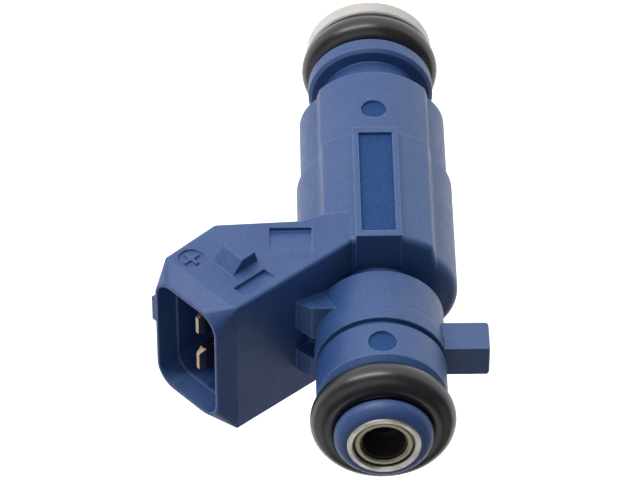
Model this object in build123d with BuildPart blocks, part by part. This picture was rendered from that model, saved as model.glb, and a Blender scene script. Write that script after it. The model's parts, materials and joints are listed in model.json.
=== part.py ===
from build123d import *
import math
import os

os.makedirs("parts", exist_ok=True)

# Top-feed fuel injector with a slanted two-pin connector.
# Origin: on the injector axis at the nozzle end. +Z points to the fuel inlet,
# +X to the connector, -Y to the marked front of the body. Millimetres.

# ---------------------------------------------------------------- driving sizes
total_length = 60.7

# stack on the axis, heights above the nozzle end
cap_height = 1.8
cap_radius = 6.75
cap_edge = 0.2
body_end = 0.9              # lower end face of the steel nozzle body
flange_bottom = 5.6
flange_top = 7.7
flange_radius = 6.68
neck_radius = 5.05
lower_body_bottom = 12.5
upper_body_bottom = 23.2
upper_body_top = 39.4
collar_step = 47.3
clip_groove_bottom = 49.25
clip_groove_top = 50.0
barrel_top = 54.3
barrel_bottom = 42.3
housing_top = 54.9
waist_radius = 4.3
flange_bevel = 0.65
flange_ease = 0.35          # smaller bevel on the inlet side of the flange
lug_bottom = 45.05
lug_height = 3.8
lug_width = 3.56
lug_reach = 11.0
lug_root = 5.0              # inner end, hidden in the barrel
lug_fillet = 0.35
barrel_radius = 6.6
barrel_root_radius = 6.55   # between the body and the step
barrel_band_radius = 6.7    # between the step and the clip groove
barrel_bevel = 0.55
clip_groove_radius = 6.1

# body cross sections: an oval of two wings with a crowned pad on the front and the back
lower_wing = (2.7, 5.0)     # distance of the wing's centre from the axis, and its radius
lower_pad_apex = 7.6
lower_pad_edge = (5.6, 5.14)
lower_wall_foot = (5.85, 4.2)
upper_wing = (1.95, 6.2)
upper_pad_apex = 8.5
upper_pad_edge = (5.5, 6.8)
upper_wall_foot = (5.95, 4.65)
pad_fillet = 0.5
pad_end_fillet = 0.6
end_fillet = 0.3
wing_end_fillet = 1.2

# marks on the front
panel_face = 8.8
panel_width = 4.65
panel_recess_width = 3.47
panel_recess_depth = 0.35
panel_border = 0.5
panel_overlap = 0.35        # how far the frame reaches over the lower body
panel_end = 0.1             # how far it stands out of the end face
panel_root = 4.5            # how far down that end it starts, from the plane Y = 0
panel_recess_shift = 0.1
barrel_dimple_height = 52.5
barrel_dimple_radius = 1.45
body_dimple_height = 18.6
body_dimple_radius = 1.35
dimple_depth = 0.3
polarity_x = 18.97
polarity_z = 41.77
polarity_radius = 1.35
polarity_bar = 1.9
polarity_line = 0.36
polarity_depth = 0.2

# steel stack
tube_radius = 3.8
core_bore_radius = 1.9
inlet_bore_radius = 3.05
inlet_bore_floor = 47.0
inlet_bore_cone = 1.2       # height of the cone below the floor
inlet_bore_edge = 0.15
tube_edge = 0.2             # bevel of the tube's inlet end, steeper than 45 degrees
tube_edge_bottom = 60.4
guide_radius = 3.0          # bore that guides the armature
running_clearance = 0.05
lift = 0.1                  # travel of armature, stem and ball
core_face = 25.3            # lower end face of the fixed core
spacer_bottom = 23.4
spacer_top = 26.4

# O-rings
ring_section = 3.53
ring_outer_radius = 7.31
inlet_ring_height = 57.0
nozzle_ring_height = 3.7

# solenoid
pot_bottom = 13.4
pot_top = 33.4
pot_radius = 6.2
pot_wall = 0.7
pot_floor = 1.2
cover_thickness = 1.6
shoulder_top = 16.2         # top of the shoulder that the bobbin stands on
bobbin_flange = 0.8

# valve
ball_radius = 1.75
ball_height = 3.86
seat_radius = 3.1
seat_top = 5.6
seat_gap = 0.01
plate_thickness = 0.4
stem_radius = 1.2
stem_bore = 0.8
stem_top = 21.0
armature_bottom = 17.0
spring_seat = 22.0

# spring
spring_top = 34.0
spring_wire = 0.25
spring_radius = 1.4
spring_turns = 8
sleeve_length = 8.0

# connector, in the plane of its mouth
connector_angle = 42.0
mouth_x = 19.6
mouth_z = 46.75
shell_width = 10.6
shell_front = 8.05          # front and back face of the shell, from the plane Y = 0
shell_back = 8.9
shell_corner = 0.4
shell_draft = 2.0
shell_end = 24.0            # depth at which the shell ends inside the body
rim_width = 9.2
rim_height = 14.2
rim_corner = 2.4
bevel_length = 2.1
rim_lip = 0.3
cavity_width = 7.8
cavity_height = 12.7
cavity_corner = 1.8
lead_in = 2.3
lead_in_step = 0.15
cavity_depth = 9.0

# catch lugs and keying rib of the connector
catch_height = 1.35
catch_width = 3.0
catch_root = 0.2            # how far it runs into the shell
catch_start = 5.1           # depths behind the mouth
catch_crest_start = 6.5
catch_crest_end = 8.1
catch_end = 8.5
key_width = 3.1
key_height = 1.9
key_shift = 0.15            # off the middle, to the back
key_start = 1.7
key_end = 5.2

# web between the barrel and the connector
web_front = 4.75
web_front_foot = 2.9
web_back = 5.1
web_bottom = 41.0
web_top = 45.8
web_root = 4.0              # inner end, hidden in the barrel
web_outline = ((9.0, 42.0), (8.4, 44.4), (6.9, web_top))
web_pocket_front = 0.5
web_pocket_back = 2.4
web_pocket_depth_x = 6.3    # floor of the pocket, from the injector axis
web_pocket_foot = (43.4, 42.6)  # its lower side, at the floor and at the opening

# terminals
blade_width = 2.8
blade_thickness = 0.8
blade_pitch = 5.0
blade_setback = 1.5         # tip of the blade behind the mouth
foot_width = 1.0
foot_offset = 1.2
foot_x = 4.5
foot_knee = 37.0
foot_end = 31.3
tip_taper = 0.8             # length over which the tip narrows
tip_chamfer = 0.35
tip_thickness = 0.4

# ---------------------------------------------------------------- planes
slant = math.radians(connector_angle)
outward = Vector(math.cos(slant), 0, math.sin(slant))
inletward = Vector(-math.sin(slant), 0, math.cos(slant))
mouth_center = Vector(mouth_x, 0, mouth_z)


def mouth_plane(depth):
    """Plane parallel to the connector mouth, local x to the inlet side, local y to the front."""
    return Plane(origin=mouth_center - outward * depth, x_dir=inletward, z_dir=outward)


def side_plane(y):
    """Plane Y = y with local x = X and local y = Z."""
    return Plane(origin=(0, y, 0), x_dir=(1, 0, 0), z_dir=(0, -1, 0))


def revolved(points):
    """Revolve a closed outline of (radius, height) points about the injector axis."""
    with BuildSketch(Plane.XZ) as profile:
        with BuildLine():
            Polyline(*points, close=True)
        make_face()
    revolve(profile.sketch, axis=Axis.Z)


def tube(outer, inner, bottom, top):
    """A plain tube on the injector axis."""
    with BuildSketch(Plane.XY.offset(bottom)) as ring:
        Circle(outer)
        Circle(inner, mode=Mode.SUBTRACT)
    extrude(ring.sketch, amount=top - bottom)


def bore(radius, bottom, top):
    """Cut a round hole on the injector axis."""
    with BuildSketch(Plane.XY.offset(bottom)) as disc:
        Circle(radius)
    extrude(disc.sketch, amount=top - bottom, mode=Mode.SUBTRACT)


def body_wings(bottom, top, wing):
    """A length of the oval that the body is made on."""
    wing_offset, wing_radius = wing
    with BuildPart() as wings:
        with BuildSketch(Plane.XY.offset(bottom)):
            SlotCenterToCenter(2 * wing_offset, 2 * wing_radius)
        extrude(amount=top - bottom)
    return wings.part


def body_pads(bottom, top, pad_apex, pad_edge, wall_foot):
    """A length of the crowned pads on the front and the back of the body, with round long edges."""
    edge_x, edge_y = pad_edge
    foot_x, foot_y = wall_foot
    with BuildPart() as pads:
        with BuildSketch(Plane.XY.offset(bottom)):
            for side in (-1, 1):
                with BuildLine():
                    Polyline((-edge_x, side * edge_y), (-foot_x, side * foot_y), (-foot_x, 0),
                             (foot_x, 0), (foot_x, side * foot_y), (edge_x, side * edge_y))
                    ThreePointArc((-edge_x, side * edge_y), (0, side * pad_apex),
                                  (edge_x, side * edge_y))
                make_face()
        extrude(amount=top - bottom)
        fillet(pads.edges().filter_by(Axis.Z).filter_by(
            lambda edge: abs(abs(edge.center().Y) - edge_y) < 0.05), pad_fillet)
    return pads.part


# ---------------------------------------------------------------- terminals
def terminal(side):
    """Connector blade with a narrower shank in the moulding and a foot in the bobbin."""
    blade_y = side * blade_pitch / 2
    foot_y = side * foot_offset
    half_width = blade_width / 2
    half_thickness = blade_thickness / 2
    taper_start = -blade_setback - tip_taper
    shank_start = cavity_depth + 2.5
    blade_plane = Plane(origin=mouth_center, x_dir=outward, z_dir=inletward)
    with BuildSketch(blade_plane.offset(-half_thickness)) as blade:
        with BuildLine():
            Polyline(
                (-shank_start, blade_y - half_width),
                (taper_start, blade_y - half_width),
                (-blade_setback, blade_y - half_width + tip_chamfer),
                (-blade_setback, blade_y + half_width - tip_chamfer),
                (taper_start, blade_y + half_width),
                (-shank_start, blade_y + half_width),
                close=True,
            )
        make_face()
    extrude(blade.sketch, amount=blade_thickness)
    # the tip is coined thinner on both broad faces
    edge_plane = Plane(origin=mouth_center + Vector(0, blade_y + blade_width, 0),
                       x_dir=outward, z_dir=(0, -1, 0))
    with BuildSketch(edge_plane) as coining:
        for face in (-1, 1):
            with BuildLine():
                Polyline(
                    (taper_start, face * half_thickness),
                    (-blade_setback, face * tip_thickness / 2),
                    (0, face * tip_thickness / 2),
                    (0, face * half_thickness),
                    close=True,
                )
            make_face()
    extrude(coining.sketch, amount=2 * blade_width, mode=Mode.SUBTRACT)
    start = mouth_center - outward * (shank_start - 1) + Vector(0, foot_y, 0)
    bend = mouth_center - outward * shank_start + Vector(0, foot_y, 0)
    with BuildLine() as route:
        Polyline(start, bend, (foot_x, foot_y, foot_knee), (foot_x, foot_y, foot_end))
    with BuildSketch(Plane(origin=start, x_dir=(0, 1, 0), z_dir=-outward)) as shank:
        Rectangle(foot_width, blade_thickness)
    sweep(shank.sketch, path=route.line, transition=Transition.RIGHT)


with BuildPart() as terminal_positive:
    terminal(-1)

with BuildPart() as terminal_negative:
    terminal(1)


# ---------------------------------------------------------------- plastic housing
def connector_section(depth, width, height, corner, shift=0.0):
    """A rounded rectangle across the connector at a depth behind the mouth, shifted to the back."""
    with BuildSketch(mouth_plane(depth)) as section:
        with Locations((0, -shift)):
            RectangleRounded(width, height, corner)
    return section.sketch


shell_height = shell_front + shell_back
shell_shift = (shell_back - shell_front) / 2
shell_end_width = shell_width + 2 * (shell_end - bevel_length) * math.tan(math.radians(shell_draft))
below_body = 20.0
beyond_shell = 30.0
beyond_web = 10.0
neck_underside = 36.92
neck_underside_end = 16.96
neck_heel = 38.4
# where the underside of the neck turns up into the body, outermost point first
neck_root = ((7.8, 36.4), (5.5, 35.4), (3.0, 34.9), (1.5, neck_heel))
neck_hidden_end = -10.0

with BuildPart() as connector_block:
    # connector shell: bevelled rim, then a drafted block running into the body
    loft([
        connector_section(0, rim_width, rim_height, rim_corner),
        connector_section(bevel_length, shell_width, shell_height, shell_corner, shell_shift),
        connector_section(shell_end, shell_end_width, shell_height, shell_corner, shell_shift),
    ], ruled=True)
    # underside of the connector neck, and its end inside the body
    with BuildSketch(side_plane(shell_back + 1)):
        with BuildLine():
            Polyline(
                (beyond_shell, neck_underside),
                (neck_underside_end, neck_underside),
                *neck_root,
                (neck_hidden_end, neck_heel),
                (neck_hidden_end, below_body),
                (beyond_shell, below_body),
                close=True,
            )
        make_face()
    extrude(amount=shell_height + 2, mode=Mode.SUBTRACT)

with BuildPart() as web:
    # seen from the side it fills the angle, seen along X its front face leans back
    with BuildSketch(side_plane(web_back)):
        with BuildLine():
            Polyline((web_root, web_bottom), *web_outline, (web_root, web_top), close=True)
        make_face()
    extrude(amount=web_back + web_front)
    with BuildSketch(Plane.YZ):
        with BuildLine():
            Polyline(
                (-web_front, web_top),
                (-web_front_foot, web_bottom),
                (web_back, web_bottom),
                (web_back, web_top),
                close=True,
            )
        make_face()
    extrude(amount=mouth_x, mode=Mode.INTERSECT)
    # pocket between its two ribs
    with BuildSketch(side_plane(web_pocket_back)):
        with BuildLine():
            Polyline(
                (web_pocket_depth_x, web_pocket_foot[0]),
                (beyond_web, web_pocket_foot[1]),
                (beyond_web, web_top + 1),
                (web_pocket_depth_x, web_top + 1),
                close=True,
            )
        make_face()
    extrude(amount=web_pocket_back + web_pocket_front, mode=Mode.SUBTRACT)

# front face of the connector at the two wedge pockets: floor, run-out and a level outside it
wedge_floor = 0.45 - shell_front
wedge_rise = -shell_front - 0.02
wedge_air = -shell_front - 1
# the one beside the body deepens toward the nozzle, the one by the catch toward the axis
body_wedge_x = (6.8, 11.1)
body_wedge_z = (37.35, 41.5)
mouth_wedge_depth = (4.0, 8.15)
mouth_wedge_side = (2.85, 4.75)

# the larger upper body: its wings and its pads are each rounded at the inlet end
upper_wings = body_wings(upper_body_bottom, upper_body_top, upper_wing)
upper_wings = fillet(upper_wings.faces().sort_by(Axis.Z)[-1].edges(), wing_end_fillet)
upper_pads = body_pads(upper_body_bottom, upper_body_top, upper_pad_apex, upper_pad_edge,
                       upper_wall_foot)
upper_pads = fillet(upper_pads.faces().sort_by(Axis.Z)[-1].edges().filter_by(
    lambda edge: abs(edge.center().Y) > upper_pad_edge[1] - pad_fillet), pad_end_fillet)
lower_wings = body_wings(lower_body_bottom, upper_body_bottom, lower_wing)
lower_pads = body_pads(lower_body_bottom, upper_body_bottom, lower_pad_apex, lower_pad_edge,
                       lower_wall_foot)

with BuildPart() as housing:
    add(lower_wings)
    add(lower_pads)
    fillet(housing.faces().sort_by(Axis.Z)[0].edges(), end_fillet)
    add(upper_wings)
    add(upper_pads)
    add(connector_block.part)

    # barrel at the inlet end
    revolved([
        (0, upper_body_bottom),
        (waist_radius, upper_body_bottom),
        (waist_radius, barrel_bottom),
        (barrel_root_radius, barrel_bottom),
        (barrel_root_radius, collar_step),
        (barrel_band_radius, collar_step),
        (barrel_band_radius, clip_groove_bottom),
        (clip_groove_radius, clip_groove_bottom),
        (clip_groove_radius, clip_groove_top),
        (barrel_radius, clip_groove_top),
        (barrel_radius, barrel_top),
        (barrel_radius - barrel_bevel, housing_top),
        (0, housing_top),
    ])
    # neck and flange at the nozzle end
    revolved([
        (0, flange_bottom),
        (flange_radius - flange_bevel, flange_bottom),
        (flange_radius, flange_bottom + flange_bevel),
        (flange_radius, flange_top),
        (flange_radius - flange_ease, flange_top + flange_ease),
        (neck_radius, flange_top + flange_ease),
        (neck_radius, lower_body_bottom),
        (0, lower_body_bottom),
    ])
    # side lug that fixes the angular position in the fuel rail
    with BuildSketch(Plane.XY.offset(lug_bottom)):
        with Locations((-(lug_reach + lug_root) / 2, 0)):
            Rectangle(lug_reach - lug_root, lug_width)
    extrude(amount=lug_height)
    fillet(housing.faces().sort_by(Axis.X)[0].edges(), lug_fillet)
    add(web.part)

    # catch lugs for the spring clip of the plug, front and back of the shell
    catch_plane = Plane(origin=mouth_center, x_dir=outward, z_dir=inletward)
    with BuildSketch(catch_plane.offset(-catch_width / 2)):
        for side, face in ((-1, shell_front), (1, shell_back)):
            with BuildLine():
                Polyline(
                    (-catch_start, side * (face - catch_root)),
                    (-catch_start, side * face),
                    (-catch_crest_start, side * (face + catch_height)),
                    (-catch_crest_end, side * (face + catch_height)),
                    (-catch_end, side * face),
                    (-catch_end, side * (face - catch_root)),
                    close=True,
                )
            make_face()
    extrude(amount=catch_width)
    # keying rib on the nozzle side of the shell
    with BuildSketch(mouth_plane(key_end)):
        with Locations((-shell_width / 2, -key_shift)):
            Rectangle(2 * key_height, key_width)
    extrude(amount=key_end - key_start)

    # framed panel on the front of the upper body
    panel_center = (upper_body_bottom + upper_body_top) / 2
    panel_length = upper_body_top - upper_body_bottom
    with BuildSketch(side_plane(-panel_root)):
        with Locations((0, panel_center + (panel_end - panel_overlap) / 2)):
            Rectangle(panel_width, panel_length + panel_overlap + panel_end)
    extrude(amount=panel_face - panel_root)
    with BuildSketch(side_plane(panel_recess_depth - panel_face)):
        with Locations((0, panel_center - panel_recess_shift)):
            Rectangle(panel_recess_width, panel_length - 2 * (panel_border + panel_recess_shift))
    extrude(amount=2 * panel_recess_depth, mode=Mode.SUBTRACT)
    # round dimples on the front of the barrel and of the lower body
    for height, radius, surface in (
        (barrel_dimple_height, barrel_dimple_radius, barrel_radius),
        (body_dimple_height, body_dimple_radius, lower_pad_apex),
    ):
        with BuildSketch(side_plane(dimple_depth - surface)):
            with Locations((0, height)):
                Circle(radius)
        extrude(amount=1, mode=Mode.SUBTRACT)
    # polarity mark: a cross left standing in a round recess
    with BuildSketch(Plane(origin=(polarity_x, polarity_depth - shell_front, polarity_z),
                           x_dir=outward, z_dir=(0, -1, 0))):
        Circle(polarity_radius)
        Rectangle(polarity_bar, polarity_line, mode=Mode.SUBTRACT)
        Rectangle(polarity_line, polarity_bar, mode=Mode.SUBTRACT)
    extrude(amount=1, mode=Mode.SUBTRACT)
    # two wedge-shaped pockets on the front face of the connector
    deep, shallow = body_wedge_z
    with BuildSketch(Plane(origin=(body_wedge_x[0], 0, 0), x_dir=(0, 1, 0), z_dir=(1, 0, 0))):
        with BuildLine():
            Polyline((wedge_floor, deep), (wedge_rise, shallow), (wedge_air, shallow),
                     (wedge_air, deep), close=True)
        make_face()
    extrude(amount=body_wedge_x[1] - body_wedge_x[0], mode=Mode.SUBTRACT)
    deep, shallow = mouth_wedge_side
    with BuildSketch(mouth_plane(mouth_wedge_depth[1])):
        with BuildLine():
            Polyline((deep, -wedge_floor), (shallow, -wedge_rise), (shallow, -wedge_air),
                     (deep, -wedge_air), close=True)
        make_face()
    extrude(amount=mouth_wedge_depth[1] - mouth_wedge_depth[0], mode=Mode.SUBTRACT)

    # socket: lead-in at the mouth, then the straight cavity
    loft([
        connector_section(0, rim_width - 2 * rim_lip, rim_height - 2 * rim_lip, rim_corner - rim_lip),
        connector_section(lead_in, cavity_width + 2 * lead_in_step, cavity_height + 2 * lead_in_step,
                          cavity_corner + lead_in_step),
    ], mode=Mode.SUBTRACT)
    extrude(connector_section(cavity_depth, cavity_width, cavity_height, cavity_corner),
            amount=cavity_depth - lead_in + 0.5, mode=Mode.SUBTRACT)

    # seats for the steel stack, the solenoid and the terminals
    bore(tube_radius, 0, total_length)
    bore(pot_radius, pot_bottom, pot_top)
    add(terminal_positive.part, mode=Mode.SUBTRACT)
    add(terminal_negative.part, mode=Mode.SUBTRACT)

# ---------------------------------------------------------------- inlet end
# domed collar whose rim closes over the bevel of the tube
collar_radius = 4.98
collar_bevel = 0.3
collar_bottom = inlet_ring_height + ring_section / 2 + 0.05
collar_shoulder = collar_bottom + 0.5
collar_rim = (tube_radius - tube_edge / 2, (tube_edge_bottom + total_length) / 2)
collar_crown = (4.56, 60.17)

with BuildPart() as core_tube:
    revolved([
        (core_bore_radius, core_face),
        (guide_radius, core_face),
        (guide_radius, spacer_top),
        (tube_radius, spacer_top),
        (tube_radius, tube_edge_bottom),
        (tube_radius - tube_edge, total_length),
        (inlet_bore_radius + inlet_bore_edge, total_length),
        (inlet_bore_radius, total_length - inlet_bore_edge),
        (inlet_bore_radius, inlet_bore_floor),
        (core_bore_radius, inlet_bore_floor - inlet_bore_cone),
    ])

with BuildPart() as inlet_collar:
    with BuildSketch(Plane.XZ) as collar_section:
        with BuildLine():
            Polyline(
                (tube_radius, tube_edge_bottom),
                (tube_radius, collar_bottom),
                (collar_radius - collar_bevel, collar_bottom),
                (collar_radius, collar_bottom + collar_bevel),
                (collar_radius, collar_shoulder),
            )
            ThreePointArc((collar_radius, collar_shoulder), collar_crown, collar_rim)
            Line(collar_rim, (tube_radius, tube_edge_bottom))
        make_face()
    revolve(collar_section.sketch, axis=Axis.Z)


def o_ring(height):
    """O-ring stretched on the steel tube, with the small flat of its seat."""
    with BuildSketch(Plane.XZ) as section:
        with Locations((ring_outer_radius - ring_section / 2, height)):
            Circle(ring_section / 2)
        with Locations((tube_radius / 2, height)):
            Rectangle(tube_radius, ring_section, mode=Mode.SUBTRACT)
    revolve(section.sketch, axis=Axis.Z)


with BuildPart() as inlet_o_ring:
    o_ring(inlet_ring_height)

with BuildPart() as nozzle_o_ring:
    o_ring(nozzle_ring_height)

# ---------------------------------------------------------------- inlet filter
filter_top = total_length - 0.3
filter_bottom = 48.0
ring_mouth = 2.3            # radius of the opening in the rolled lip
ring_lip = 0.4
ring_bore = 2.65
ring_bottom = filter_top - 3.4
with BuildPart() as filter_ring:
    revolved([
        (ring_bore, ring_bottom),
        (inlet_bore_radius, ring_bottom),
        (inlet_bore_radius, filter_top - 0.45),
        (inlet_bore_radius - 0.12, filter_top),
        (ring_mouth, filter_top),
        (ring_mouth, filter_top - ring_lip),
        (ring_bore, filter_top - ring_lip),
    ])
    # the mouth of the ring is rolled round
    fillet(filter_ring.faces().sort_by(Axis.Z)[-1].edges(), 0.2)

cage_throat = 2.15
cage_bore = 1.8
cage_radius = 2.3
cage_flange = 2.9
cage_flange_bottom = ring_bottom - 1
cage_ribs = 4
cage_rib_width = 0.7
cage_foot_top = filter_bottom + 1
with BuildPart() as filter_cage:
    tube(ring_bore, cage_throat, ring_bottom, filter_top - ring_lip)
    tube(cage_flange, cage_bore, cage_flange_bottom, ring_bottom)
    with BuildSketch(Plane.XY.offset(cage_foot_top)):
        with PolarLocations((cage_bore + cage_radius) / 2, cage_ribs):
            Rectangle(cage_radius - cage_bore, cage_rib_width)
    extrude(amount=cage_flange_bottom - cage_foot_top)
    with BuildSketch(Plane.XY.offset(filter_bottom)):
        Circle(cage_radius)
    extrude(amount=cage_foot_top - filter_bottom)

mesh_thickness = 0.1
with BuildPart() as filter_mesh:
    tube(cage_bore, cage_bore - mesh_thickness, cage_foot_top, cage_flange_bottom)

# ---------------------------------------------------------------- spring and its adjuster
with BuildPart() as adjusting_sleeve:
    tube(core_bore_radius, 1.2, spring_top, spring_top + sleeve_length)
    with BuildSketch(Plane.XY.offset(spring_top)):
        with Locations((-core_bore_radius, 0)):
            Rectangle(core_bore_radius, 0.5)
    extrude(amount=sleeve_length, mode=Mode.SUBTRACT)

spring_length = spring_top - spring_seat
spring_pitch = (spring_length - 2 * spring_wire) / spring_turns
with BuildPart() as closing_spring:
    with BuildLine(Plane.XY.offset(spring_seat + spring_wire)):
        Helix(spring_pitch, spring_pitch * spring_turns, spring_radius)
    with BuildSketch(Plane(origin=(spring_radius, 0, spring_seat + spring_wire),
                           x_dir=(1, 0, 0), z_dir=(0, 1, 0))):
        Circle(spring_wire)
    sweep(is_frenet=True)

# ---------------------------------------------------------------- moving valve parts
with BuildPart() as armature:
    revolved([
        (stem_radius, armature_bottom),
        (guide_radius - 0.8, armature_bottom),
        (guide_radius - running_clearance, armature_bottom + 1),
        (guide_radius - running_clearance, core_face - lift),
        (1.85, core_face - lift),
        (1.85, spring_seat),
        (0.9, spring_seat),
        (0.9, stem_top),
        (stem_radius, stem_top),
    ])

with BuildPart() as needle_tube:
    tube(stem_radius, stem_bore, ball_height + 1, stem_top)
    # cross holes that let the fuel out of the hollow stem
    for hole_height in (9.0, 13.0):
        with BuildSketch(Plane.XZ.offset(-stem_radius - 1)):
            with Locations((0, hole_height)):
                Circle(0.45)
        extrude(amount=2 * stem_radius + 2, mode=Mode.SUBTRACT)
    with Locations((0, 0, ball_height)):
        Sphere(ball_radius, mode=Mode.SUBTRACT)

with BuildPart() as valve_ball:
    with Locations((0, 0, ball_height)):
        Sphere(ball_radius)
    # five flats let the fuel pass the guide bore
    with BuildSketch(Plane.XY.offset(ball_height - ball_radius)):
        with PolarLocations(ball_radius - 0.3 + 1, 5):
            Rectangle(2, 2.2)
    extrude(amount=2 * ball_radius, mode=Mode.SUBTRACT)

# ---------------------------------------------------------------- nozzle end
seat_bottom = body_end + plate_thickness
cone_apex = ball_height - ball_radius * math.sqrt(2) - seat_gap
metering_radius = 0.55
seat_guide = ball_radius + running_clearance
with BuildPart() as valve_seat:
    revolved([
        (metering_radius, seat_bottom),
        (seat_radius, seat_bottom),
        (seat_radius, seat_top),
        (seat_guide + 0.3, seat_top),
        (seat_guide, seat_top - 0.3),
        (seat_guide, cone_apex + seat_guide),
        (metering_radius, cone_apex + metering_radius),
    ])

with BuildPart() as orifice_plate:
    with BuildSketch(Plane.XY.offset(body_end)):
        Circle(seat_radius)
        with PolarLocations(0.32, 4):
            Circle(0.12, mode=Mode.SUBTRACT)
    extrude(amount=plate_thickness)

snap_low = 1.2
snap_high = 1.5
snap_depth = 0.15
with BuildPart() as nozzle_body:
    revolved([
        (seat_radius, body_end),
        (tube_radius, body_end),
        (tube_radius, snap_low),
        (tube_radius - snap_depth, snap_low),
        (tube_radius - snap_depth, snap_high),
        (tube_radius, snap_high),
        (tube_radius, pot_bottom + pot_floor),
        (pot_radius - pot_wall, pot_bottom + pot_floor),
        (pot_radius - pot_wall, shoulder_top),
        (tube_radius, shoulder_top),
        (tube_radius, spacer_bottom),
        (guide_radius, spacer_bottom),
        (guide_radius, shoulder_top),
        (2.2, shoulder_top - 0.8),
        (2.2, seat_top + 0.9),
        (seat_radius, seat_top),
    ])

with BuildPart() as nozzle_cap:
    revolved([
        (2.6, 0),
        (cap_radius - cap_edge, 0),
        (cap_radius, cap_edge),
        (cap_radius, cap_height - 0.15),
        (cap_radius - 0.15, cap_height),
        (tube_radius, cap_height),
        (tube_radius, snap_high),
        (tube_radius - snap_depth, snap_high),
        (tube_radius - snap_depth, snap_low),
        (tube_radius, snap_low),
        (tube_radius, body_end),
        (2.6, body_end),
    ])

# ---------------------------------------------------------------- solenoid
with BuildPart() as nonmagnetic_ring:
    tube(tube_radius, guide_radius, spacer_bottom, spacer_top)

with BuildPart() as solenoid_casing:
    tube(pot_radius, tube_radius, pot_bottom, pot_bottom + pot_floor)
    tube(pot_radius, pot_radius - pot_wall, pot_bottom + pot_floor, pot_top)

cover_bottom = pot_top - cover_thickness
with BuildPart() as casing_cover:
    tube(pot_radius - pot_wall, tube_radius, cover_bottom, pot_top)
    with BuildSketch(Plane.XY.offset(cover_bottom)):
        with Locations((foot_x + 0.5, 0)):
            Rectangle(2.1, 4.0)
    extrude(amount=cover_thickness, mode=Mode.SUBTRACT)

bobbin_bore = tube_radius + 0.05
with BuildPart() as coil_bobbin:
    revolved([
        (bobbin_bore, shoulder_top),
        (pot_radius - pot_wall - 0.05, shoulder_top),
        (pot_radius - pot_wall - 0.05, shoulder_top + bobbin_flange),
        (bobbin_bore + 0.5, shoulder_top + bobbin_flange),
        (bobbin_bore + 0.5, cover_bottom - bobbin_flange),
        (pot_radius - pot_wall - 0.05, cover_bottom - bobbin_flange),
        (pot_radius - pot_wall - 0.05, cover_bottom),
        (bobbin_bore, cover_bottom),
    ])
    add(terminal_positive.part, mode=Mode.SUBTRACT)
    add(terminal_negative.part, mode=Mode.SUBTRACT)

with BuildPart() as coil_winding:
    tube(pot_radius - pot_wall - 0.25, bobbin_bore + 0.5,
         shoulder_top + bobbin_flange, cover_bottom - bobbin_flange)

# ---------------------------------------------------------------- hand over
pieces = {
    "housing": housing,
    "core_tube": core_tube,
    "inlet_collar": inlet_collar,
    "inlet_o_ring": inlet_o_ring,
    "filter_ring": filter_ring,
    "filter_cage": filter_cage,
    "filter_mesh": filter_mesh,
    "adjusting_sleeve": adjusting_sleeve,
    "closing_spring": closing_spring,
    "armature": armature,
    "needle_tube": needle_tube,
    "valve_ball": valve_ball,
    "valve_seat": valve_seat,
    "orifice_plate": orifice_plate,
    "nozzle_body": nozzle_body,
    "nozzle_o_ring": nozzle_o_ring,
    "nozzle_cap": nozzle_cap,
    "nonmagnetic_ring": nonmagnetic_ring,
    "solenoid_casing": solenoid_casing,
    "casing_cover": casing_cover,
    "coil_bobbin": coil_bobbin,
    "coil_winding": coil_winding,
    "terminal_positive": terminal_positive,
    "terminal_negative": terminal_negative,
}
for name, piece in pieces.items():
    piece.part.label = name
    export_step(piece.part, "parts/" + name + ".step")
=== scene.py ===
import json
import math

import bpy
from mathutils import Euler, Matrix, Vector


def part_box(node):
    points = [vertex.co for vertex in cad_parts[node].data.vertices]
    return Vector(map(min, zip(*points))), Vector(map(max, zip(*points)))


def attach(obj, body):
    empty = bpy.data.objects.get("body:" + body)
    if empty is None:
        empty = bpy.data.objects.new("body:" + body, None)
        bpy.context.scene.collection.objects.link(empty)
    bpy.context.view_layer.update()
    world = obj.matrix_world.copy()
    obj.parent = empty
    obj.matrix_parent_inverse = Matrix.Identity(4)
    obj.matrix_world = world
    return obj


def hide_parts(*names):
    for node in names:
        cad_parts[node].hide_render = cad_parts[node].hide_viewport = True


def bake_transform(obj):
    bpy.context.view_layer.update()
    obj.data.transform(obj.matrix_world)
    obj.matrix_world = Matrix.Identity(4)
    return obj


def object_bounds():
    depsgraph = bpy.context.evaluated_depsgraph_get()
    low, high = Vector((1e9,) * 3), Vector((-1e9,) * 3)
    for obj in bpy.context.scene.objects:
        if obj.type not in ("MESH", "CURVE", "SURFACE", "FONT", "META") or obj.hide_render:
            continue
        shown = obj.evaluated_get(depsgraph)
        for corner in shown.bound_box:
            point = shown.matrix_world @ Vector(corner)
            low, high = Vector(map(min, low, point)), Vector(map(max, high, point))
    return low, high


# Looks of a top-feed fuel injector. Everything is in metres, in the part's own frame:
# the injector axis is Z, the inlet is up, the connector leans to +X, the front is -Y.

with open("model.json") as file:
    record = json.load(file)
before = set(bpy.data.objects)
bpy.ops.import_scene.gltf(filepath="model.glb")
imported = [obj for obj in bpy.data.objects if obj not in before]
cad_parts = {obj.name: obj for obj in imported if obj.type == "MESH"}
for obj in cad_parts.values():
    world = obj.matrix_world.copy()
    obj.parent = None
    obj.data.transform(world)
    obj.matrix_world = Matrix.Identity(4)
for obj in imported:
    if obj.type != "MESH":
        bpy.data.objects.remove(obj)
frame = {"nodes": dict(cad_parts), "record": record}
cad_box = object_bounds()
MM = 0.001

# ---------------------------------------------------------------- camera
CAMERA_PLACE = (11.68 * MM, -305.06 * MM, 359.95 * MM)
CAMERA_AZIMUTH = -1.10      # degrees, as the two below
CAMERA_ELEVATION = 47.19
CAMERA_ROLL = 178.54
CAMERA_LENS = 243.2         # millimetres, as the sensor
CAMERA_SENSOR = 36.0
CAMERA_NEAR = 0.01


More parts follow.
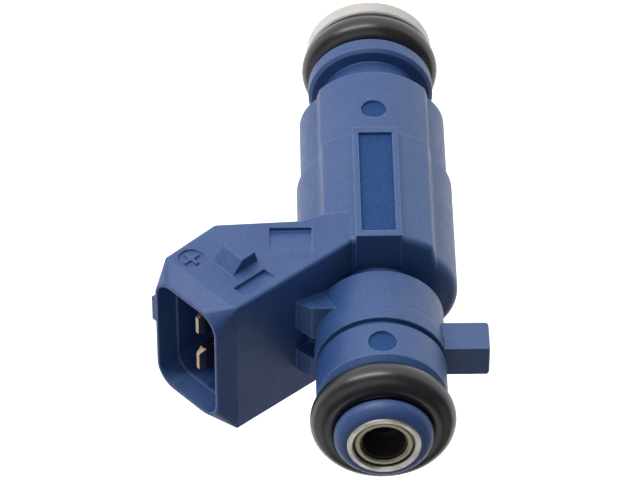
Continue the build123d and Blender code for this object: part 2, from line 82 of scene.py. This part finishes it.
def make_camera():
    data = bpy.data.cameras.new("camera")
    data.lens = CAMERA_LENS
    data.sensor_width = CAMERA_SENSOR
    data.clip_start = CAMERA_NEAR
    camera = bpy.data.objects.new("camera", data)
    bpy.context.collection.objects.link(camera)
    tilt = math.radians(90 - CAMERA_ELEVATION)
    turn = math.radians(-CAMERA_AZIMUTH)
    aim = Euler((tilt, 0, turn)).to_matrix()
    roll = Matrix.Rotation(math.radians(CAMERA_ROLL), 3, "Z")
    camera.matrix_world = Matrix.Translation(CAMERA_PLACE) @ (aim @ roll).to_4x4()
    bpy.context.scene.camera = camera


# ---------------------------------------------------------------- node helpers
MIX_FIRST = 6               # colour sockets of a Mix node
MIX_SECOND = 7
MIX_RESULT = 2
BEVEL_SAMPLES = 6


class Shader:
    """A material's node tree, with the few nodes that the surfaces here are made of."""

    def __init__(self, name):
        self.material = bpy.data.materials.new(name)
        self.material.use_nodes = True
        self.nodes = self.material.node_tree.nodes
        self.links = self.material.node_tree.links
        self.surface = self.nodes["Principled BSDF"]
        self.position = self.add("TexCoord").outputs["Object"]

    def feed(self, socket, value):
        """Join a socket to the output of another node, or set it to a constant."""
        if isinstance(value, bpy.types.NodeSocket):
            self.links.new(value, socket)
        elif socket.type == "RGBA":
            socket.default_value = (*value, 1.0)
        else:
            socket.default_value = value

    def add(self, kind, **inputs):
        """A new node, with its inputs fed by name."""
        node = self.nodes.new("ShaderNode" + kind)
        for name, value in inputs.items():
            self.feed(node.inputs[name.replace("_", " ")], value)
        return node

    def finish(self, **inputs):
        """Feed the surface and hand the material over."""
        for name, value in inputs.items():
            self.feed(self.surface.inputs[name.replace("_", " ")], value)
        return self.material

    def scalar(self, operation, first, second):
        node = self.add("Math")
        node.operation = operation
        self.feed(node.inputs[0], first)
        self.feed(node.inputs[1], second)
        return node.outputs["Value"]

    def vector(self, operation, first, second=None):
        node = self.add("VectorMath")
        node.operation = operation
        self.feed(node.inputs[0], first)
        if second is not None:
            self.feed(node.inputs[1], second)
        gives_number = operation in ("LENGTH", "DOT_PRODUCT")
        return node.outputs["Value" if gives_number else "Vector"]

    def axes(self, vector):
        """The X, Y and Z of a vector."""
        return self.add("SeparateXYZ", Vector=vector).outputs

    def noise(self, scale, detail, roughness=0.5, source=None):
        if source is None:
            source = self.position
        node = self.add("TexNoise", Scale=scale, Detail=detail, Roughness=roughness, Vector=source)
        return node.outputs["Fac"]

    def ramp(self, value, low, high, start=0.3, end=0.7):
        """A colour that runs from low to high while the value runs from start to end."""
        node = self.add("ValToRGB", Fac=value)
        first, last = node.color_ramp.elements
        first.position = start
        first.color = (*low, 1.0)
        last.position = end
        last.color = (*high, 1.0)
        return node.outputs["Color"]

    def range(self, value, low, high, start=0.3, end=0.7):
        """A number that runs from low to high while the value runs from start to end."""
        node = self.add("MapRange", Value=value, From_Min=start, From_Max=end, To_Min=low, To_Max=high)
        return node.outputs["Result"]

    def mix(self, factor, first, second):
        node = self.add("Mix")
        node.data_type = "RGBA"
        self.feed(node.inputs["Factor"], factor)
        self.feed(node.inputs[MIX_FIRST], first)
        self.feed(node.inputs[MIX_SECOND], second)
        return node.outputs[MIX_RESULT]

    def bump(self, height, distance, strength=1.0, normal=None):
        node = self.add("Bump", Height=height, Distance=distance, Strength=strength)
        if normal is not None:
            self.feed(node.inputs["Normal"], normal)
        return node.outputs["Normal"]

    def soft_edges(self, radius):
        node = self.add("Bevel", Radius=radius)
        node.samples = BEVEL_SAMPLES
        return node.outputs["Normal"]

    def edge_mask(self, radius, reach=0.06):
        """1 along convex and concave edges, 0 on the open faces."""
        true_normal = self.add("NewGeometry").outputs["Normal"]
        likeness = self.vector("DOT_PRODUCT", self.soft_edges(radius), true_normal)
        return self.range(likeness, 1.0, 0.0, start=1.0 - reach, end=1.0)

    def from_center(self, center, half_size):
        """The position counted from a centre, in half sizes along X, Y and Z."""
        shifted = self.vector("SUBTRACT", self.position, [value * MM for value in center])
        return self.vector("DIVIDE", shifted, [value * MM for value in half_size])

    def in_box(self, center, half_size):
        """1 inside a box, 0 outside it."""
        away = self.axes(self.vector("ABSOLUTE", self.from_center(center, half_size)))
        furthest = self.scalar("MAXIMUM", away["X"], self.scalar("MAXIMUM", away["Y"], away["Z"]))
        return self.scalar("LESS_THAN", furthest, 1.0)

    def in_ellipsoid(self, center, half_size):
        """1 inside an ellipsoid, 0 outside it."""
        away = self.vector("LENGTH", self.from_center(center, half_size))
        return self.scalar("LESS_THAN", away, 1.0)


# ---------------------------------------------------------------- materials
# Sunk faces of the housing, which the tool left rough: centre and half size in mm.
PANEL_FLOOR = ((0, -8.45, 31.2), (1.74, 0.12, 7.55))
DIMPLES = (
    ((0, -6.3, 52.5), (1.5, 0.08, 1.5)),
    ((0, -7.3, 18.6), (1.4, 0.08, 1.4)),
)

BLUE_DEEP = (0.0075, 0.036, 0.151)
BLUE_MOTTLED = (0.0105, 0.046, 0.176)
# grey of the random bloom and of the painted reflection on the lug's side
BLUE_BLOOM_AND_SHEEN = (0.026, 0.066, 0.168)
BLUE_DUSTY = (0.040, 0.086, 0.198)
# painted highlight along the housing's convex and concave edges
BLUE_EDGE_HIGHLIGHT = (0.058, 0.130, 0.310)
BLUE_PIT = (0.004, 0.033, 0.126)
BLUE_FLOOR = (0.014, 0.063, 0.204)
SHEEN_FULL_X = -9 * MM       # painted grey reflection, thick on the lug's side and fading toward the connector
SHEEN_NONE_X = 12 * MM
EDGE_HIGHLIGHT_FULL_X = 8 * MM        # the painted highlight along edges is weaker on the connector
EDGE_HIGHLIGHT_LEAST_X = 12 * MM

RUBBER_BLACK = (0.010, 0.010, 0.012)
RUBBER_SMEARED = (0.015, 0.015, 0.018)
RUBBER_DUST = (0.060, 0.060, 0.062)
STEEL = (0.56, 0.53, 0.50)
MAGNETIC_STEEL = (0.42, 0.42, 0.43)
STAINED = 0.82              # what a stain leaves of the colour of steel
BRASS_DARK = (0.20, 0.185, 0.135)
BRASS_BRIGHT = (0.32, 0.295, 0.215)
NYLON_DARK = (0.37, 0.36, 0.345)
NYLON_BRIGHT = (0.43, 0.42, 0.405)
COPPER_DARK = (0.36, 0.12, 0.05)
COPPER_BRIGHT = (0.50, 0.19, 0.08)
BRONZE_DARK = (0.30, 0.22, 0.16)
BRONZE_BRIGHT = (0.44, 0.33, 0.25)
BLACK_NYLON = (0.016, 0.016, 0.018)
BLACK_NYLON_WORN = (0.026, 0.026, 0.029)


def blue_plastic():
    """Glass-filled nylon: satin blue with a grey bloom, a painted grey reflection on the lug's side, a
    painted highlight along its edges, rough where it is sunk.
    """
    s = Shader("blue_nylon")
    sunk = s.in_box(*PANEL_FLOOR)
    for dimple in DIMPLES:
        sunk = s.scalar("MAXIMUM", sunk, s.in_ellipsoid(*dimple))
    across = s.axes(s.position)["X"]

    mottle = s.noise(scale=260, detail=4, roughness=0.6)
    bare = s.ramp(mottle, BLUE_DEEP, BLUE_MOTTLED, start=0.35, end=0.65)
    # painted grey reflection on the lug's side, mixed with the random grey bloom below
    sheen_side = s.range(across, 0.7, 0.0, start=SHEEN_FULL_X, end=SHEEN_NONE_X)
    clouds = s.range(s.noise(scale=120, detail=3, roughness=0.55), 0.0, 0.5, start=0.40, end=0.62)
    bloom_and_sheen = s.mix(s.scalar("MAXIMUM", clouds, sheen_side), bare, BLUE_BLOOM_AND_SHEEN)
    specks = s.range(s.noise(scale=4200, detail=4, roughness=0.75), 0.0, 0.9, start=0.48, end=0.72)
    dusty = s.mix(specks, bloom_and_sheen, BLUE_DUSTY)
    # painted highlight along convex and concave edges, weaker toward the connector
    highlight_share = s.range(across, 1.0, 0.35, start=EDGE_HIGHLIGHT_FULL_X, end=EDGE_HIGHLIGHT_LEAST_X)
    edge_highlight = s.scalar("MULTIPLY", s.edge_mask(0.18 * MM), highlight_share)
    highlighted = s.mix(edge_highlight, dusty, BLUE_EDGE_HIGHLIGHT)

    pits = s.noise(scale=3800, detail=3, roughness=0.75)
    rough_floor = s.ramp(pits, BLUE_PIT, BLUE_FLOOR, start=0.35, end=0.70)
    grain = s.noise(scale=9000, detail=2, roughness=0.6)
    patches = s.noise(scale=900, detail=3, roughness=0.6)
    waves = s.bump(patches, 0.01 * MM, 0.3, s.soft_edges(0.25 * MM))
    skin = s.bump(grain, 0.012 * MM, 0.5, waves)
    return s.finish(
        Base_Color=s.mix(sunk, highlighted, rough_floor),
        Roughness=s.scalar("ADD", s.range(patches, 0.44, 0.54), s.scalar("MULTIPLY", sunk, 0.25)),
        Specular_IOR_Level=s.range(sunk, 0.5, 0.25, start=0.0, end=1.0),
        Normal=s.bump(s.scalar("MULTIPLY", pits, sunk), 0.18 * MM, normal=skin),
    )


def rubber():
    """Fluorocarbon rubber with a thin film of oil and a little dust."""
    s = Shader("oiled_rubber")
    smear = s.noise(scale=420, detail=4, roughness=0.65)
    clean = s.ramp(smear, RUBBER_BLACK, RUBBER_SMEARED)
    dust = s.range(s.noise(scale=3600, detail=3, roughness=0.7), 0.0, 0.2, start=0.62, end=0.78)
    grain = s.noise(scale=5200, detail=3, roughness=0.6)
    return s.finish(
        Base_Color=s.mix(dust, clean, RUBBER_DUST),
        Roughness=s.range(smear, 0.27, 0.37),
        Normal=s.bump(grain, 0.002 * MM, 0.5),
    )


def turned_steel(name, color, roughness):
    """Steel with the fine rings that a lathe leaves round the Z axis."""
    s = Shader(name)
    radius = s.vector("LENGTH", s.vector("MULTIPLY", s.position, (1.0, 1.0, 0.0)))
    feed_travel = s.scalar("ADD", s.axes(s.position)["Z"], radius)
    along_profile = s.add("CombineXYZ", X=feed_travel).outputs["Vector"]
    rings = s.noise(scale=9000, detail=3, source=along_profile)
    stains = s.noise(scale=600, detail=3, roughness=0.6)
    stained = tuple(STAINED * channel for channel in color)
    return s.finish(
        Base_Color=s.mix(s.range(stains, 0.0, 1.0, start=0.35), color, stained),
        Metallic=1.0,
        Roughness=s.range(stains, roughness - 0.05, roughness + 0.08),
        Normal=s.bump(rings, 0.010 * MM, 0.7, s.soft_edges(0.06 * MM)),
    )


def brass():
    """Drawn brass with a satin, slightly tarnished face."""
    s = Shader("satin_brass")
    stains = s.noise(scale=900, detail=4, roughness=0.6)
    return s.finish(
        Base_Color=s.ramp(stains, BRASS_DARK, BRASS_BRIGHT),
        Metallic=1.0,
        Roughness=s.range(stains, 0.28, 0.42),
        Normal=s.soft_edges(0.06 * MM),
    )


def natural_nylon():
    """Unpigmented nylon, off-white and a little translucent."""
    s = Shader("natural_nylon")
    cloud = s.noise(scale=300, detail=3)
    return s.finish(
        Base_Color=s.ramp(cloud, NYLON_DARK, NYLON_BRIGHT),
        Roughness=0.42,
        Subsurface_Weight=0.35,
        Subsurface_Scale=0.6 * MM,
        Normal=s.bump(s.noise(scale=6000, detail=2), 0.004 * MM, 0.5, s.soft_edges(0.1 * MM)),
    )


def copper_enamel():
    """Copper wire under a clear enamel."""
    s = Shader("enamelled_copper")
    tone = s.noise(scale=800, detail=3)
    return s.finish(
        Base_Color=s.ramp(tone, COPPER_DARK, COPPER_BRIGHT),
        Metallic=1.0,
        Roughness=0.3,
        Coat_Weight=0.6,
        Coat_Roughness=0.15,
    )


def tinned_bronze():
    """Stamped strip with draw lines along the width of the connector."""
    s = Shader("tinned_bronze")
    stretched = s.vector("MULTIPLY", s.position, (1.0, 0.06, 1.0))
    draw_lines = s.noise(scale=3000, detail=3, roughness=0.7, source=stretched)
    return s.finish(
        Base_Color=s.ramp(draw_lines, BRONZE_DARK, BRONZE_BRIGHT),
        Metallic=1.0,
        Roughness=s.range(draw_lines, 0.20, 0.30),
        Normal=s.bump(draw_lines, 0.004 * MM, 0.5, s.soft_edges(0.05 * MM)),
    )


def black_plastic():
    """Glass-filled black nylon with a fine moulded grain."""
    s = Shader("black_nylon")
    grain = s.noise(scale=7000, detail=2, roughness=0.6)
    tone = s.noise(scale=400, detail=3)
    return s.finish(
        Base_Color=s.ramp(tone, BLACK_NYLON, BLACK_NYLON_WORN),
        Roughness=0.5,
        Normal=s.bump(grain, 0.01 * MM, 0.4, s.soft_edges(0.06 * MM)),
    )


def dress_nodes():
    """Give every CAD node the detailed material of its slot."""
    finish = {
        "blue_plastic": blue_plastic(),
        "steel": turned_steel("turned_steel", STEEL, roughness=0.36),
        "magnetic_steel": turned_steel("magnetic_steel", MAGNETIC_STEEL, roughness=0.34),
        "rubber_black": rubber(),
        "brass": brass(),
        "natural_plastic": natural_nylon(),
        "copper": copper_enamel(),
        "tinned_bronze": tinned_bronze(),
        "black_plastic": black_plastic(),
    }
    for subpart in frame["record"]["subparts"]:
        node = frame["nodes"][subpart["node"]]
        node.data.materials.clear()
        node.data.materials.append(finish[subpart["material_slot"]])
    return finish


# ---------------------------------------------------------------- detailed pieces
SPRING_WIRE = 0.25 * MM     # radius of the wire, as of the winding's
SPRING_TURNS = 8
SPRING_DEAD_TURNS = 1.0     # at each end
SPRING_DEAD_PITCH = 1.9     # in wire radii: just under two, so that the end turns close
SPRING_GROUND = 0.4         # how much of the wire's radius is ground off at each end
SPRING_STEPS = 40           # points to a turn
SPRING_SIDES = 12
WINDING_BORE = 4.35 * MM
WINDING_WIRE = 0.175 * MM
WINDING_STEPS = 64
WINDING_SIDES = 6
MESH_WIRE = 0.035 * MM      # thickness of the wire
MESH_UPRIGHTS = 40
MESH_HOOPS = 60
MESH_SIDES = 4


def around(radius, angle, height):
    """A point at a radius from the Z axis."""
    return Vector((radius * math.cos(angle), radius * math.sin(angle), height))


def swept(path, radius, sides, closed=False):
    """Vertices and faces of a round wire along a list of points that winds about the Z axis."""
    verts = []
    faces = []
    count = len(path)
    for index, point in enumerate(path):
        before = path[index - 1] if index or closed else point
        after = path[(index + 1) % count] if index + 1 < count or closed else point
        forward = (after - before).normalized()
        outward = Vector((point.x, point.y, 0)).normalized()
        up = forward.cross(outward).normalized()
        outward = up.cross(forward)
        for side in range(sides):
            angle = 2 * math.pi * side / sides
            verts.append(point + radius * (math.cos(angle) * outward + math.sin(angle) * up))
    for index in range(count if closed else count - 1):
        here = index * sides
        there = (index + 1) % count * sides
        for side in range(sides):
            step = (side + 1) % sides
            faces.append((here + side, here + step, there + step, there + side))
    if not closed:
        faces.append(tuple(reversed(range(sides))))
        faces.append(tuple(range((count - 1) * sides, count * sides)))
    return verts, faces


def joined(wires):
    """One list of vertices and faces out of several."""
    verts = []
    faces = []
    for wire_verts, wire_faces in wires:
        start = len(verts)
        verts += wire_verts
        faces += [tuple(start + index for index in face) for face in wire_faces]
    return verts, faces


def new_piece(name, shape, material):
    """A mesh object with smooth wires and flat wire ends."""
    mesh = bpy.data.meshes.new(name)
    verts, faces = shape
    mesh.from_pydata([tuple(vert) for vert in verts], [], faces)
    mesh.validate()
    for polygon in mesh.polygons:
        polygon.use_smooth = len(polygon.vertices) == 4
    piece = bpy.data.objects.new(name, mesh)
    bpy.context.collection.objects.link(piece)
    piece.data.materials.append(material)
    return piece


def make_spring(finish):
    """Closing spring with a closed, ground turn at each end."""
    low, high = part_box("closing_spring")
    radius = high[0] - SPRING_WIRE
    bottom = low[2] + SPRING_WIRE
    free_turns = SPRING_TURNS - 2 * SPRING_DEAD_TURNS
    dead_rise = SPRING_DEAD_PITCH * SPRING_WIRE * SPRING_DEAD_TURNS
    free_rise = high[2] - low[2] - 2 * SPRING_WIRE - 2 * dead_rise
    path = []
    for step in range(SPRING_TURNS * SPRING_STEPS + 1):
        turn = step / SPRING_STEPS
        dead = min(turn, SPRING_DEAD_TURNS) + max(0.0, turn - SPRING_TURNS + SPRING_DEAD_TURNS)
        rise = dead / SPRING_DEAD_TURNS * dead_rise + (turn - dead) / free_turns * free_rise
        path.append(around(radius, 2 * math.pi * turn, bottom + rise))
    verts, faces = swept(path, SPRING_WIRE, SPRING_SIDES)
    ground = SPRING_GROUND * SPRING_WIRE
    for vert in verts:
        vert.z = min(max(vert.z, low[2] + ground), high[2] - ground)
    spring = new_piece("spring_coil", (verts, faces), finish["steel"])
    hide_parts("closing_spring")
    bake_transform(spring)


def make_winding(finish):
    """Layers of enamelled wire on the bobbin, one ring to a turn."""
    low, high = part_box("coil_winding")
    turns = int((high[2] - low[2]) / (2 * WINDING_WIRE))
    pitch = (high[2] - low[2]) / turns
    layers = int((high[0] - WINDING_BORE) / (2 * WINDING_WIRE))
    wires = []
    for layer in range(layers):
        radius = high[0] - WINDING_WIRE * (2 * layer + 1)
        for turn in range(turns):
            height = low[2] + pitch * (turn + 0.5)
            path = []
            for step in range(WINDING_STEPS):
                path.append(around(radius, 2 * math.pi * step / WINDING_STEPS, height))
            wires.append(swept(path, WINDING_WIRE, WINDING_SIDES, closed=True))
    winding = new_piece("coil_wire", joined(wires), finish["copper"])
    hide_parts("coil_winding")
    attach(winding, "injector")


def make_filter_mesh(finish):
    """Woven screen of the inlet filter: each wire goes in and out between the ones it crosses."""
    low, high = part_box("filter_mesh")
    wire_radius = MESH_WIRE / 2
    radius = high[0] - 1.5 * MESH_WIRE
    pitch = (high[2] - low[2]) / MESH_HOOPS
    heights = [low[2] + pitch * (row + 0.5) for row in range(MESH_HOOPS)]
    wires = []
    for row, height in enumerate(heights):
        path = []
        for step in range(2 * MESH_UPRIGHTS):
            reach = radius + wire_radius * (1 if (step + row) % 2 else -1)
            path.append(around(reach, math.pi * step / MESH_UPRIGHTS, height))
        wires.append(swept(path, wire_radius, MESH_SIDES, closed=True))
    for upright in range(MESH_UPRIGHTS):
        path = []
        for row, height in enumerate(heights):
            reach = radius + wire_radius * (1 if (row + upright) % 2 else -1)
            path.append(around(reach, 2 * math.pi * upright / MESH_UPRIGHTS, height))
        wires.append(swept(path, wire_radius, MESH_SIDES))
    screen = new_piece("filter_screen", joined(wires), finish["steel"])
    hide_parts("filter_mesh")
    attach(screen, "injector")


# ---------------------------------------------------------------- stage
FLOOR_SIZE = 4.0
FLOOR_GAP = 0.05 * MM
FLOOR_GLOW = 1.12
FLOOR_TONE = 0.8
SKY_STRENGTH = 0.12
LIGHTS_AIM = (0.006, 0, 0.032)
# Name, place, width and height, and power in watts.
LIGHTS = (
    ("key", (0.22, -0.60, 0.05), (0.6, 0.08), 3.2),
    ("left_panel", (0.52, 0.42, 0.34), (0.8, 0.4), 1.0),
    ("right_panel", (-0.50, 0.42, 0.42), (0.6, 0.3), 0.30),
    ("back", (0.0, 0.50, 0.58), (0.4, 0.2), 0.40),
    ("mouth_fill", (0.42, -0.10, 0.50), (0.4, 0.4), 0.45),
    ("camera_fill", (0.10, -0.40, 0.60), (0.6, 0.4), 0.75),
)


def make_floor():
    mesh = bpy.data.meshes.new("floor")
    half = FLOOR_SIZE / 2
    corners = [(-half, -half, 0), (half, -half, 0), (half, half, 0), (-half, half, 0)]
    mesh.from_pydata(corners, [], [(0, 1, 2, 3)])
    floor = bpy.data.objects.new("floor", mesh)
    floor.location.z = cad_box[0][2] - FLOOR_GAP
    bpy.context.collection.objects.link(floor)
    pale = Shader("pale_floor").finish(
        Base_Color=(FLOOR_TONE,) * 3,
        Roughness=0.9,
        Emission_Color=(1.0, 1.0, 1.0),
        Emission_Strength=FLOOR_GLOW,
        Specular_IOR_Level=0.0,
    )
    floor.data.materials.append(pale)


def area_light(name, place, size, power):
    data = bpy.data.lights.new(name, "AREA")
    data.shape = "RECTANGLE"
    data.size, data.size_y = size
    data.energy = power
    light = bpy.data.objects.new(name, data)
    light.location = place
    toward = Vector(LIGHTS_AIM) - Vector(place)
    light.rotation_euler = toward.to_track_quat("-Z", "Y").to_euler()
    bpy.context.collection.objects.link(light)


def make_world():
    world = bpy.data.worlds.new("studio")
    bpy.context.scene.world = world
    world.use_nodes = True
    background = world.node_tree.nodes["Background"]
    background.inputs["Color"].default_value = (1.0, 1.0, 1.0, 1.0)
    background.inputs["Strength"].default_value = SKY_STRENGTH


def make_stage():
    make_floor()
    make_world()
    for light in LIGHTS:
        area_light(*light)


# ---------------------------------------------------------------- build
make_camera()
finish = dress_nodes()
make_spring(finish)
make_winding(finish)
make_filter_mesh(finish)
make_stage()
bpy.context.scene.view_settings.view_transform = "Standard"
